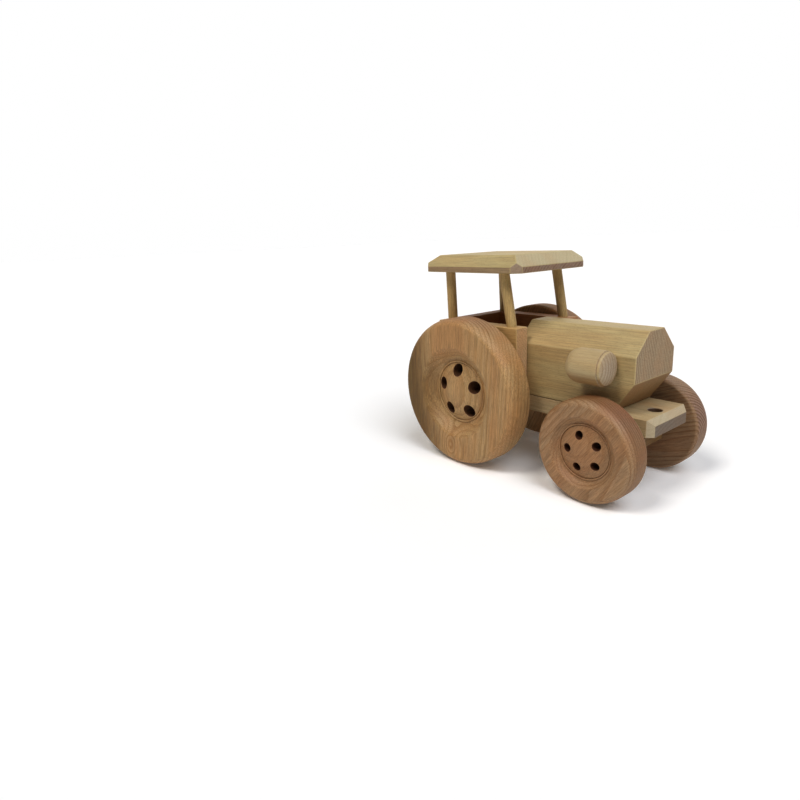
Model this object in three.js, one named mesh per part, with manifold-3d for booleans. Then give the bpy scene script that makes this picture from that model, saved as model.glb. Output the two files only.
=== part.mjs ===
// A wooden toy tractor: a chassis board, a chamfered hood block, an open cab of three boards with a
// bevelled roof on four dowels, two round headlamps, and four turned wheels on two dowel axles.
//
// Millimetres. +X is forward, +Y is the tractor's left, +Z is up. Inside the tractor group X is
// measured from the rear axle and Z from the floor; the group is then moved so that the origin is
// the middle of the whole toy's footprint.

import * as THREE from 'three';
import { mergeVertices } from 'three/addons/utils/BufferGeometryUtils.js';
import Module from 'manifold-3d';

const wasm = await Module();
wasm.setup();

// ---- Driving dimensions ------------------------------------------------------------------------

const GAP = 0.3; // between pieces that touch, for glue or running clearance
const BLIND_END = 0.5; // free space past the end of a dowel in its blind hole
const LEFT = 1;
const RIGHT = -1;

const WHEELBASE = 112;
const BODY_HALF_WIDTH = 26.5; // of the chassis board and the hood block

const CHASSIS = {
  rear: -76,
  front: 145.5,
  bottom: 47.7,
  top: 59.7,
  cornerClip: 4.2,
  noseBevel: 4,
  hitchInset: 11.7, // from each end of the board to the centre of its hitch hole
  hitchRadius: 4.75,
};

const HOOD = {
  rear: 34.9,
  front: 131.8,
  undercutFoot: 116.6, // where the sloping face below the front meets the chassis
  undercutTop: 82.5,
  chamferBottom: 100.6,
  top: 116.5,
  topHalfWidth: 10,
};

const CAB = {
  rear: -40,
  front: 44,
  top: 113.5,
  sideThickness: 13.2,
  rearThickness: 11,
  floorTop: 74,
};

const ROOF = {
  rear: -53,
  front: 48.2,
  halfWidth: 45.4,
  bottom: 154.5,
  edge: 4.9,
  rise: 8.5, // of the bevels above the vertical edge
  sideBevel: 9.1,
  frontBevel: 9.1,
  rearBevel: 12,
  cornerClip: 6.5,
};

const POST = { radius: 4, socketInWall: 12, socketInRoof: 7, segments: 20 };
const FRONT_POST = { foot: 34, head: 26.3 }; // X where the axis meets the wall top and the roof
const REAR_POST = { foot: -29.5, head: -31.5 };

const LAMP = {
  radius: 12.3,
  rear: 91,
  rim: 117.5,
  front: 121,
  height: 93.4,
  sink: 0.8, // depth of the glued flat on its inner side
  rearRounding: 5,
  pegRadius: 3,
  pegInLamp: 10,
  pegInHood: 10,
};

const REAR_WHEEL = {
  radius: 60,
  width: 22.5,
  inner: 42, // distance of the inner face from the centre plane
  hubRadius: 24,
  hubDepth: 8.8, // of the hub's edge below the outer face
  domeRise: 5.4, // of the hub's centre above its edge
  dishRadius: 38,
  shoulderWidth: 9,
  shoulderDrop: 5.5,
  holeCircle: 18,
  holeRadius: 5,
  holePhase: 3,
  segments: 56,
};

const FRONT_WHEEL = {
  radius: 37,
  width: 20.2,
  inner: 36,
  hubRadius: 18.8,
  hubDepth: 4.6,
  domeRise: 3.6,
  dishRadius: 26,
  shoulderWidth: 8,
  shoulderDrop: 4.5,
  holeCircle: 12.1,
  holeRadius: 2.9,
  holePhase: 15.9,
  segments: 48,
};

const INNER_EDGE_RADIUS = 2.4; // rounding of each wheel's inner edge
const HOLES_PER_WHEEL = 5;

const REAR_AXLE = { radius: 5, inWheel: 10 };
const FRONT_AXLE = { radius: 4, inWheel: 10 };
const AXLE_CLEARANCE = 0.5; // radial, where an axle turns in a board or block

const AXLE_BLOCK = { halfLength: 12.5, halfWidth: 34, bottom: 27 };
const WASHER = { rim: 4.5, thickness: 1.1 };

const PEG = { radius: 4, inChassis: 8, above: 14 }; // the hidden dowels that stand on the chassis
const HOOD_PEGS = [56, 96];
const FLOOR_PEGS = [-20, 23];
const BLOCK_PEG_SPREAD = 15; // sideways, from the centre plane
const BLOCK_PEG = { radius: 3, inChassis: 8, below: 5, ahead: 7.5 };

const ROUND = 24; // facets of a drilled hole or a dowel

// ---- Materials ---------------------------------------------------------------------------------

const wood = (color, roughness) => new THREE.MeshStandardMaterial({ color, roughness, metalness: 0 });
const BEECH_BOARD = wood(0xd2b283, 0.62);
const BEECH_BLOCK = wood(0xc7a671, 0.6);
const BEECH_WHEEL = wood(0xb98d5c, 0.58);
const BEECH_DOWEL = wood(0xcdb083, 0.6);
const WASHER_WOOD = wood(0xc9b48f, 0.7);

// ---- Solids ------------------------------------------------------------------------------------

/** Six times the volume enclosed by indexed triangles; negative when they face inwards. */
function signedVolume(position, corners) {
  const [a, b, c] = [new THREE.Vector3(), new THREE.Vector3(), new THREE.Vector3()];
  let sum = 0;
  for (let i = 0; i < corners.length; i += 3) {
    a.fromBufferAttribute(position, corners[i]);
    b.fromBufferAttribute(position, corners[i + 1]);
    c.fromBufferAttribute(position, corners[i + 2]);
    sum += a.dot(b.cross(c));
  }
  return sum;
}

/** A closed three.js geometry as a manifold solid with its faces pointing out. */
function solid(geometry) {
  const bare = new THREE.BufferGeometry();
  bare.setAttribute('position', geometry.getAttribute('position'));
  if (geometry.index) bare.setIndex(geometry.index);
  const merged = mergeVertices(bare);
  const position = merged.getAttribute('position');
  const corners = [];
  for (let i = 0; i < merged.index.count; i += 3) {
    const [a, b, c] = [merged.index.getX(i), merged.index.getX(i + 1), merged.index.getX(i + 2)];
    if (a !== b && b !== c && c !== a) corners.push(a, b, c);
  }
  if (signedVolume(position, corners) < 0) corners.reverse();
  const vertProperties = new Float32Array(position.array);
  const triVerts = new Uint32Array(corners);
  return new wasm.Manifold(new wasm.Mesh({ numProp: 3, vertProperties, triVerts }));
}

/** The triangles of a manifold solid as a three.js geometry. */
function geometryOf(body) {
  const mesh = body.getMesh();
  const geometry = new THREE.BufferGeometry();
  geometry.setAttribute('position', new THREE.BufferAttribute(new Float32Array(mesh.vertProperties), 3));
  geometry.setIndex(new THREE.BufferAttribute(new Uint32Array(mesh.triVerts), 1));
  return geometry;
}

const X = new THREE.Vector3(1, 0, 0);
const Y = new THREE.Vector3(0, 1, 0);
const Z = new THREE.Vector3(0, 0, 1);

/** An outline swept along one axis. Outlines are (y, z) for x, (x, z) for y and (x, y) for z. */
function prism(outline, axis, from, to) {
  const shape = new THREE.Shape(outline.map(([u, v]) => new THREE.Vector2(u, v)));
  const geometry = new THREE.ExtrudeGeometry(shape, { depth: to - from, bevelEnabled: false });
  const turn = new THREE.Matrix4();
  if (axis === 'x') turn.makeBasis(Y, Z, X).setPosition(from, 0, 0);
  if (axis === 'y') turn.makeBasis(X, Z, Y.clone().negate()).setPosition(0, to, 0);
  if (axis === 'z') turn.setPosition(0, 0, from);
  return solid(geometry.applyMatrix4(turn));
}

function block([x0, x1], [y0, y1], [z0, z1]) {
  const geometry = new THREE.BoxGeometry(x1 - x0, y1 - y0, z1 - z0);
  geometry.translate((x0 + x1) / 2, (y0 + y1) / 2, (z0 + z1) / 2);
  return solid(geometry);
}

/** A round rod between two points, as a geometry or, through solid(), a drill. */
function rod(radius, start, end, segments = ROUND) {
  const [a, b] = [new THREE.Vector3(...start), new THREE.Vector3(...end)];
  const along = b.clone().sub(a);
  const geometry = new THREE.CylinderGeometry(radius, radius, along.length(), segments);
  geometry.applyQuaternion(new THREE.Quaternion().setFromUnitVectors(Y, along.normalize()));
  geometry.translate(...a.add(b).multiplyScalar(0.5).toArray());
  return geometry;
}

const drill = (radius, start, end, segments) => solid(rod(radius, start, end, segments));

/** A chamfered rectangle: the plan of a board whose listed corners are clipped. */
function clippedPlan(x0, x1, halfWidth, frontClip, rearClip) {
  const corners = [];
  for (const [x, inward, clip] of [[x1, -1, frontClip], [x0, 1, rearClip]]) {
    const pair = [[x, halfWidth - clip], [x + inward * clip, halfWidth]];
    const side = clip > 0 ? pair : [[x, halfWidth]];
    const other = side.map(([px, py]) => [px, -py]).reverse();
    corners.push(...(inward < 0 ? [...other, ...side] : [...side.reverse(), ...other.reverse()]));
  }
  return corners;
}

const tractor = new THREE.Group();

/** Adds one named piece to a group at a place, turned about its own origin. */
function place(group, name, geometry, material, at = [0, 0, 0], turn = [0, 0, 0]) {
  geometry.computeVertexNormals();
  const mesh = new THREE.Mesh(geometry, material);
  mesh.name = name;
  mesh.position.set(...at);
  mesh.rotation.set(...turn);
  group.add(mesh);
}

const sideName = (side) => (side === LEFT ? 'left' : 'right');

// ---- Where pieces meet -------------------------------------------------------------------------

const wallInner = BODY_HALF_WIDTH + GAP;
const wallOuter = wallInner + CAB.sideThickness;
const wallMiddle = (wallInner + wallOuter) / 2;
const onChassis = CHASSIS.top + GAP;
const underChassis = CHASSIS.bottom - GAP;
const lampOffset = BODY_HALF_WIDTH + GAP + LAMP.radius - LAMP.sink;
const rearAxleHeight = REAR_WHEEL.radius;
const frontAxleHeight = FRONT_WHEEL.radius;

/** The end points of a roof post's axis on one side, at the wall top and at the roof's underside. */
function postEnds(post, side) {
  const foot = new THREE.Vector3(post.foot, side * wallMiddle, CAB.top);
  const head = new THREE.Vector3(post.head, side * wallMiddle, ROOF.bottom);
  return { foot, head, up: head.clone().sub(foot).normalize() };
}

/** Drills a sloping socket for a post, from just outside a face to its blind end. */
function postSocket(point, inward, depth) {
  const open = point.clone().addScaledVector(inward, -POST.radius);
  const end = point.clone().addScaledVector(inward, depth);
  return drill(POST.radius + GAP, open.toArray(), end.toArray(), POST.segments);
}

const rearAxleBore = () => {
  const reach = wallOuter + 1;
  const radius = REAR_AXLE.radius + AXLE_CLEARANCE;
  return drill(radius, [0, -reach, rearAxleHeight], [0, reach, rearAxleHeight]);
};

// ---- Chassis, hood and front axle block --------------------------------------------------------

function chassisBoard() {
  const { rear, front, bottom, top, cornerClip, noseBevel, hitchInset, hitchRadius } = CHASSIS;
  const plan = clippedPlan(rear, front, BODY_HALF_WIDTH, cornerClip, cornerClip);
  let board = prism(plan, 'z', bottom, top);
  const bevels = [
    [[front + 1, top + 1], [front - noseBevel - 1, top + 1], [front + 1, top - noseBevel - 1]],
    [[rear - 1, top + 1], [rear - 1, top - noseBevel - 1], [rear + noseBevel + 1, top + 1]],
  ];
  for (const wedge of bevels) {
    board = board.subtract(prism(wedge, 'y', -BODY_HALF_WIDTH - 1, BODY_HALF_WIDTH + 1));
  }
  for (const x of [front - hitchInset, rear + hitchInset]) {
    board = board.subtract(drill(hitchRadius, [x, 0, bottom - 1], [x, 0, top + 1], 32));
  }
  for (const x of [...HOOD_PEGS, ...FLOOR_PEGS]) {
    const floor = top - PEG.inChassis - BLIND_END;
    board = board.subtract(drill(PEG.radius + GAP, [x, 0, floor], [x, 0, top + 1]));
  }
  for (const side of [LEFT, RIGHT]) {
    const [x, y] = [WHEELBASE - BLOCK_PEG.ahead, side * BLOCK_PEG_SPREAD];
    const ceiling = bottom + BLOCK_PEG.inChassis + BLIND_END;
    board = board.subtract(drill(BLOCK_PEG.radius + GAP, [x, y, bottom - 1], [x, y, ceiling]));
  }
  return geometryOf(board.subtract(rearAxleBore()));
}

function hoodBlock() {
  const { rear, front, undercutFoot, undercutTop, chamferBottom, top, topHalfWidth } = HOOD;
  const profile = [
    [rear, onChassis], [undercutFoot, onChassis], [front, undercutTop], [front, top], [rear, top],
  ];
  const section = [
    [-BODY_HALF_WIDTH, onChassis], [BODY_HALF_WIDTH, onChassis],
    [BODY_HALF_WIDTH, chamferBottom], [topHalfWidth, top],
    [-topHalfWidth, top], [-BODY_HALF_WIDTH, chamferBottom],
  ];
  let hood = prism(profile, 'y', -BODY_HALF_WIDTH, BODY_HALF_WIDTH).intersect(prism(section, 'x', rear, front));
  for (const x of HOOD_PEGS) {
    const ceiling = CHASSIS.top + PEG.above + BLIND_END;
    hood = hood.subtract(drill(PEG.radius + GAP, [x, 0, onChassis - 1], [x, 0, ceiling]));
  }
  const pegX = (LAMP.rear + LAMP.rim) / 2;
  for (const side of [LEFT, RIGHT]) {
    const start = [pegX, side * (BODY_HALF_WIDTH - LAMP.pegInHood - BLIND_END), LAMP.height];
    const end = [pegX, side * (BODY_HALF_WIDTH + 1), LAMP.height];
    hood = hood.subtract(drill(LAMP.pegRadius + GAP, start, end));
  }
  return geometryOf(hood);
}

function frontAxleBlock() {
  const { halfLength, halfWidth, bottom } = AXLE_BLOCK;
  let body = block(
    [WHEELBASE - halfLength, WHEELBASE + halfLength], [-halfWidth, halfWidth], [bottom, underChassis],
  );
  const bore = FRONT_AXLE.radius + AXLE_CLEARANCE;
  const reach = halfWidth + 1;
  body = body.subtract(drill(bore, [WHEELBASE, -reach, frontAxleHeight], [WHEELBASE, reach, frontAxleHeight]));
  for (const side of [LEFT, RIGHT]) {
    const [x, y] = [WHEELBASE - BLOCK_PEG.ahead, side * BLOCK_PEG_SPREAD];
    const floor = underChassis - BLOCK_PEG.below - BLIND_END;
    body = body.subtract(drill(BLOCK_PEG.radius + GAP, [x, y, floor], [x, y, underChassis + 1]));
  }
  return geometryOf(body);
}

// ---- Cab ---------------------------------------------------------------------------------------

function cabSideWall(side) {
  const [low, high] = side === LEFT ? [wallInner, wallOuter] : [-wallOuter, -wallInner];
  let wall = block([CAB.rear, CAB.front], [low, high], [CHASSIS.bottom, CAB.top]);
  for (const post of [FRONT_POST, REAR_POST]) {
    const { foot, up } = postEnds(post, side);
    wall = wall.subtract(postSocket(foot, up.negate(), POST.socketInWall + BLIND_END));
  }
  return geometryOf(wall.subtract(rearAxleBore()));
}

const cabRearWall = () => geometryOf(block(
  [CAB.rear, CAB.rear + CAB.rearThickness], [-BODY_HALF_WIDTH, BODY_HALF_WIDTH], [onChassis, CAB.top],
));

/** The block that fills the cab's floor and closes the upper half of the rear axle's bore. */
function cabFloorBlock() {
  const length = [CAB.rear + CAB.rearThickness + GAP, HOOD.rear - GAP];
  let floor = block(length, [-BODY_HALF_WIDTH, BODY_HALF_WIDTH], [onChassis, CAB.floorTop]);
  for (const x of FLOOR_PEGS) {
    const ceiling = CHASSIS.top + PEG.above / 2 + BLIND_END;
    floor = floor.subtract(drill(PEG.radius + GAP, [x, 0, onChassis - 1], [x, 0, ceiling]));
  }
  return geometryOf(floor.subtract(rearAxleBore()));
}

function roofBoard() {
  const { rear, front, halfWidth, bottom, edge, rise, sideBevel, frontBevel, rearBevel, cornerClip } = ROOF;
  const [brow, top] = [bottom + edge, bottom + edge + rise];
  const plan = clippedPlan(rear, front, halfWidth, cornerClip, cornerClip);
  const across = [
    [-halfWidth, bottom], [halfWidth, bottom], [halfWidth, brow],
    [halfWidth - sideBevel, top], [sideBevel - halfWidth, top], [-halfWidth, brow],
  ];
  const along = [
    [rear, bottom], [front, bottom], [front, brow], [front - frontBevel, top], [rear + rearBevel, top], [rear, brow],
  ];
  let roof = prism(plan, 'z', bottom, top).intersect(prism(across, 'x', rear, front));
  roof = roof.intersect(prism(along, 'y', -halfWidth, halfWidth));
  for (const side of [LEFT, RIGHT]) {
    for (const post of [FRONT_POST, REAR_POST]) {
      const { head, up } = postEnds(post, side);
      roof = roof.subtract(postSocket(head, up, POST.socketInRoof + BLIND_END));
    }
  }
  return geometryOf(roof);
}

function roofPost(group, name, post, side) {
  const { foot, head, up } = postEnds(post, side);
  const start = foot.clone().addScaledVector(up, -POST.socketInWall);
  const length = head.distanceTo(foot) + POST.socketInWall + POST.socketInRoof;
  const geometry = rod(POST.radius, [0, 0, 0], [0, 0, length], POST.segments);
  const rake = Math.atan2(up.x, up.z);
  place(group, name, geometry, BEECH_DOWEL, start.toArray(), [0, rake, 0]);
}

// ---- Headlamps ---------------------------------------------------------------------------------

/** A short fat dowel about local Y with a rounded back and a low domed front. */
function lampProfile() {
  const { radius, rear, rim, front, rearRounding } = LAMP;
  const points = [new THREE.Vector2(0, 0)];
  for (let step = 0; step <= 4; step += 1) {
    const angle = (step / 4) * (Math.PI / 2);
    const r = radius - rearRounding * (1 - Math.sin(angle));
    points.push(new THREE.Vector2(r, rearRounding * (1 - Math.cos(angle))));
  }
  const domeSteps = 4;
  for (let step = 0; step <= domeSteps; step += 1) {
    const angle = (step / domeSteps) * (Math.PI / 2);
    const along = rim - rear + (front - rim) * Math.sin(angle);
    points.push(new THREE.Vector2(step === domeSteps ? 0 : radius * Math.cos(angle), along));
  }
  return points;
}

function headlamp(side) {
  let lamp = solid(new THREE.LatheGeometry(lampProfile(), 32));
  const length = LAMP.front - LAMP.rear;
  const inward = side; // local X points to the tractor's right once the lamp lies along the hood
  const flat = LAMP.radius - LAMP.sink;
  const [near, far] = [inward * flat, inward * (LAMP.radius + 1)];
  lamp = lamp.subtract(block(
    [Math.min(near, far), Math.max(near, far)], [-1, length + 1], [-LAMP.radius, LAMP.radius],
  ));
  const pegY = (LAMP.rim - LAMP.rear) / 2;
  const depth = flat - LAMP.pegInLamp - BLIND_END;
  return geometryOf(lamp.subtract(
    drill(LAMP.pegRadius + GAP, [inward * depth, pegY, 0], [inward * (LAMP.radius + 1), pegY, 0]),
  ));
}

function lampPeg(group, side) {
  const middle = (LAMP.rear + LAMP.rim) / 2;
  const start = BODY_HALF_WIDTH - LAMP.pegInHood;
  const end = BODY_HALF_WIDTH + GAP + LAMP.pegInLamp;
  const geometry = rod(LAMP.pegRadius, [0, 0, 0], [0, side * (end - start), 0]);
  place(group, `headlamp_dowel_${sideName(side)}`, geometry, BEECH_DOWEL, [middle, side * start, LAMP.height]);
}

// ---- Wheels, axles and washers -----------------------------------------------------------------

/** A turned wheel about local Y: inner face at 0, rounded tread, dished outer face with a domed hub. */
function wheel(spec, axle) {
  const { radius, width, hubRadius, hubDepth, domeRise, dishRadius, shoulderWidth, shoulderDrop } = spec;
  const point = (r, y) => new THREE.Vector2(r, y);
  const outline = [];
  const domeSteps = 3;
  for (let step = 0; step <= domeSteps; step += 1) {
    const t = step / domeSteps;
    outline.push(point(hubRadius * t, width - hubDepth + domeRise * (1 - t * t)));
  }
  const dishSteps = 5;
  for (let step = 1; step <= dishSteps; step += 1) {
    const t = step / dishSteps;
    const r = hubRadius + (dishRadius - hubRadius) * t;
    outline.push(point(r, width - (hubDepth * (1 + Math.cos(Math.PI * t))) / 2));
  }
  const shoulderSteps = 4;
  for (let step = 0; step <= shoulderSteps; step += 1) {
    const angle = (step / shoulderSteps) * (Math.PI / 2);
    const r = radius - shoulderDrop * (1 - Math.sin(angle));
    outline.push(point(r, width - shoulderWidth * (1 - Math.cos(angle))));
  }
  const edgeSteps = 2;
  for (let step = 0; step <= edgeSteps; step += 1) {
    const angle = (step / edgeSteps) * (Math.PI / 2);
    const r = radius - INNER_EDGE_RADIUS * (1 - Math.cos(angle));
    outline.push(point(r, INNER_EDGE_RADIUS * (1 - Math.sin(angle))));
  }
  const bore = axle.radius + GAP;
  const boreEnd = axle.inWheel + BLIND_END;
  outline.push(point(bore, 0), point(bore, boreEnd), point(0, boreEnd));
  let body = solid(new THREE.LatheGeometry(outline, spec.segments));
  for (let hole = 0; hole < HOLES_PER_WHEEL; hole += 1) {
    const angle = THREE.MathUtils.degToRad(spec.holePhase + (hole * 360) / HOLES_PER_WHEEL);
    const [x, z] = [spec.holeCircle * Math.sin(angle), spec.holeCircle * Math.cos(angle)];
    body = body.subtract(drill(spec.holeRadius, [x, -1, z], [x, width + 1, z]));
  }
  return geometryOf(body);
}

/** A flat ring about local Y, from 0 to its thickness. */
function washer(boreRadius) {
  const rim = boreRadius + WASHER.rim;
  const outline = [
    [boreRadius, 0], [rim, 0], [rim, WASHER.thickness], [boreRadius, WASHER.thickness], [boreRadius, 0],
  ].map(([r, y]) => new THREE.Vector2(r, y));
  return geometryOf(solid(new THREE.LatheGeometry(outline, ROUND)));
}

/** One axle with its two wheels and washers, as a group centred on the axle. */
function wheelSet(end, at, axle, spec) {
  const set = new THREE.Group();
  set.position.set(...at);
  const halfLength = spec.inner + axle.inWheel;
  place(set, `${end}_axle`, rod(axle.radius, [0, -halfLength, 0], [0, halfLength, 0]), BEECH_DOWEL);
  for (const side of [LEFT, RIGHT]) {
    const turn = [0, 0, side === LEFT ? 0 : Math.PI];
    const washerY = side * (spec.inner - GAP - WASHER.thickness);
    place(set, `${end}_wheel_${sideName(side)}`, wheel(spec, axle), BEECH_WHEEL, [0, side * spec.inner, 0], turn);
    place(set, `${end}_washer_${sideName(side)}`, washer(axle.radius + GAP), WASHER_WOOD, [0, washerY, 0], turn);
  }
  return set;
}

// ---- Assembly ----------------------------------------------------------------------------------

const body = new THREE.Group();
place(body, 'chassis_board', chassisBoard(), BEECH_BOARD);
place(body, 'hood_block', hoodBlock(), BEECH_BLOCK);
place(body, 'front_axle_block', frontAxleBlock(), BEECH_BLOCK);

const cab = new THREE.Group();
place(cab, 'cab_wall_rear', cabRearWall(), BEECH_BOARD);
place(cab, 'cab_floor_block', cabFloorBlock(), BEECH_BLOCK);
place(cab, 'roof_board', roofBoard(), BEECH_BOARD);
for (const side of [LEFT, RIGHT]) {
  place(cab, `cab_wall_${sideName(side)}`, cabSideWall(side), BEECH_BOARD);
  roofPost(cab, `roof_post_front_${sideName(side)}`, FRONT_POST, side);
  roofPost(cab, `roof_post_rear_${sideName(side)}`, REAR_POST, side);
}
body.add(cab);

for (const side of [LEFT, RIGHT]) {
  const lampAt = [LAMP.rear, side * lampOffset, LAMP.height];
  place(body, `headlamp_${sideName(side)}`, headlamp(side), BEECH_DOWEL, lampAt, [0, 0, -Math.PI / 2]);
  lampPeg(body, side);
}

/** Stands a hidden dowel upright, from one height to another. */
function standingPeg(name, radius, x, y, bottom, top) {
  place(body, name, rod(radius, [0, 0, 0], [0, 0, top - bottom]), BEECH_DOWEL, [x, y, bottom]);
}

const pegFoot = CHASSIS.top - PEG.inChassis;
HOOD_PEGS.forEach((x, i) => {
  standingPeg(`hood_dowel_${['rear', 'front'][i]}`, PEG.radius, x, 0, pegFoot, CHASSIS.top + PEG.above);
});
FLOOR_PEGS.forEach((x, i) => {
  standingPeg(`cab_floor_dowel_${['rear', 'front'][i]}`, PEG.radius, x, 0, pegFoot, CHASSIS.top + PEG.above / 2);
});
for (const side of [LEFT, RIGHT]) {
  const [x, y] = [WHEELBASE - BLOCK_PEG.ahead, side * BLOCK_PEG_SPREAD];
  const [bottom, top] = [underChassis - BLOCK_PEG.below, CHASSIS.bottom + BLOCK_PEG.inChassis];
  standingPeg(`axle_block_dowel_${sideName(side)}`, BLOCK_PEG.radius, x, y, bottom, top);
}

tractor.add(
  body,
  wheelSet('rear', [0, 0, rearAxleHeight], REAR_AXLE, REAR_WHEEL),
  wheelSet('front', [WHEELBASE, 0, frontAxleHeight], FRONT_AXLE, FRONT_WHEEL),
);
tractor.position.x = -(CHASSIS.rear + WHEELBASE + FRONT_WHEEL.radius) / 2;

export default tractor;
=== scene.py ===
"""A wooden toy tractor in raw beech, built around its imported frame.

Metres, in the frame's own axes: +X forward, +Y to the tractor's left, +Z up, the floor at Z = 0.
Every piece takes its place and its main sizes from the frame's boxes. The numbers below add only
what a box can't say: bevels, roundings, turned profiles, grain and colour.
"""

import math

import bmesh
import bpy
from mathutils import Matrix, Vector


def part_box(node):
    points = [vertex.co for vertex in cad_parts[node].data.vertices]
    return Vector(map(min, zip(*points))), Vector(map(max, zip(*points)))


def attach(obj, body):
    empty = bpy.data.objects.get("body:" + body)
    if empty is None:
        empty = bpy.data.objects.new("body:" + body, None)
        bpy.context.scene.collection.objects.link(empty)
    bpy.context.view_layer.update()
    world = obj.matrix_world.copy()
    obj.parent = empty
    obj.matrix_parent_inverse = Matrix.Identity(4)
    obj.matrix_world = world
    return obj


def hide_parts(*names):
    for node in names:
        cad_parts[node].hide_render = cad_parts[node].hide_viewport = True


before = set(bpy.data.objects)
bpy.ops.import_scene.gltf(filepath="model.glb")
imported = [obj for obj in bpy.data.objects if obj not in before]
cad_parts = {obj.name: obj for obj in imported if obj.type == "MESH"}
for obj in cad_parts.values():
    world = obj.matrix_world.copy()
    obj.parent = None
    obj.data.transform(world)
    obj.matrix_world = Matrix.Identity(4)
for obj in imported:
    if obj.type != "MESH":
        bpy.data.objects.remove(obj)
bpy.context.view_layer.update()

MM = 0.001
SIDES = {"left": 1, "right": -1}

# ---- Camera ------------------------------------------------------------------------------------

CAMERA_PLACE = (0.27724, -0.37535, 0.18383)
CAMERA_AZIMUTH = 51.06  # degrees; 0 looks along +Y
CAMERA_ELEVATION = 13.79
CAMERA_ROLL = -2.46
LENS = 25.46  # millimetres
SENSOR = 36
SHIFT = (0.0037, -0.0293)


def make_camera():
    angles = (CAMERA_AZIMUTH, CAMERA_ELEVATION, CAMERA_ROLL)
    azimuth, elevation, roll = (math.radians(angle) for angle in angles)
    level = Vector((math.cos(azimuth), math.sin(azimuth), 0))
    outward = Vector((math.sin(azimuth), -math.cos(azimuth), 0))
    back = outward * math.cos(elevation) + Vector((0, 0, math.sin(elevation)))
    upright = back.cross(level)
    right = math.cos(roll) * level + math.sin(roll) * upright
    up = math.cos(roll) * upright - math.sin(roll) * level
    data = bpy.data.cameras.new("camera")
    data.lens = LENS
    data.sensor_width = SENSOR
    data.shift_x, data.shift_y = SHIFT
    data.clip_start = 0.01
    camera = bpy.data.objects.new("camera", data)
    turn = Matrix((right, up, back)).transposed().to_4x4()
    camera.matrix_world = Matrix.Translation(CAMERA_PLACE) @ turn
    bpy.context.scene.collection.objects.link(camera)
    bpy.context.scene.camera = camera


# ---- Light and floor ---------------------------------------------------------------------------

# Azimuth from +X, elevation and width in degrees, then strength and colour.
LIGHTS = {
    "key": (-98, 56, 20, 1.5, (1, 0.985, 0.965)),
    "fill": (-15, 56, 40, 2.05, (0.94, 0.98, 1.06)),
    "left": (100, 30, 60, 0.35, (1, 1, 1)),
}
GAMMA = 0.85  # the contrast of a product photograph
FLOOR_HALF_SIZE = 15
FLOOR_TONES = ((0.965, 0.95, 0.925), (0.975, 0.96, 0.935))
FLOOR_GLOW = 0.08  # a little light of its own, so that the paper stays white


def soft_sun(name, azimuth, elevation, spread, strength, color):
    """A large far-off light."""
    data = bpy.data.lights.new(name, "SUN")
    data.energy = strength
    data.angle = math.radians(spread)
    data.color = color
    light = bpy.data.objects.new(name, data)
    across, rise = math.radians(azimuth), math.radians(elevation)
    towards = Vector((math.cos(across) * math.cos(rise), math.sin(across) * math.cos(rise), math.sin(rise)))
    light.rotation_euler = towards.to_track_quat("Z", "Y").to_euler()
    bpy.context.scene.collection.objects.link(light)


def make_studio():
    """A white sweep that reaches the horizon, and soft lights on the tractor's right, front and left."""
    world = bpy.data.worlds.new("studio")
    world.use_nodes = True
    background = world.node_tree.nodes["Background"]
    background.inputs["Color"].default_value = (1, 1, 1, 1)
    background.inputs["Strength"].default_value = 1.0
    bpy.context.scene.world = world
    world.cycles_visibility.diffuse = False
    for name, values in LIGHTS.items():
        soft_sun(name, *values)
    display = bpy.context.scene.view_settings
    display.view_transform = "Standard"
    display.gamma = GAMMA

    bm = bmesh.new()
    bmesh.ops.create_grid(bm, x_segments=8, y_segments=8, size=FLOOR_HALF_SIZE)
    floor = add_object("floor", bm)
    floor.data.materials.append(floor_paint())


def floor_paint():
    """Pale matt paper, with a very faint unevenness."""
    material, nodes = new_material("floor_paper")
    place = nodes.add("ShaderNodeTexCoord").outputs["Object"]
    mottle = nodes.noise(place, scale=3.0, detail=2)
    tone = nodes.mix(mottle, *FLOOR_TONES)
    nodes.link(tone, nodes.shader.inputs["Base Color"])
    nodes.shader.inputs["Roughness"].default_value = 0.9
    nodes.shader.inputs["Emission Color"].default_value = (1, 0.97, 0.9, 1)
    nodes.shader.inputs["Emission Strength"].default_value = FLOOR_GLOW
    return material


# ---- Mesh tools --------------------------------------------------------------------------------


def add_object(name, bm):
    """An object from a bmesh, with its faces pointing out."""
    bmesh.ops.recalc_face_normals(bm, faces=bm.faces)
    mesh = bpy.data.meshes.new(name)
    bm.to_mesh(mesh)
    bm.free()
    obj = bpy.data.objects.new(name, mesh)
    bpy.context.scene.collection.objects.link(obj)
    return obj


def prism(name, outline, axis, low, high):
    """A closed solid swept along an axis. Outlines are (y, z) for x, (x, z) for y and (x, y) for z."""
    corner = {
        "x": lambda u, v, w: (w, u, v),
        "y": lambda u, v, w: (u, w, v),
        "z": lambda u, v, w: (u, v, w),
    }[axis]
    bm = bmesh.new()
    ends = [[bm.verts.new(corner(u, v, w)) for u, v in outline] for w in (low, high)]
    for end in ends:
        bm.faces.new(end)
    for i in range(len(outline)):
        j = (i + 1) % len(outline)
        bm.faces.new((ends[0][i], ends[0][j], ends[1][j], ends[1][i]))
    return add_object(name, bm)


def board(name, low, high):
    outline = [(low.x, low.y), (high.x, low.y), (high.x, high.y), (low.x, high.y)]
    return prism(name, outline, "z", low.z, high.z)


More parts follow.
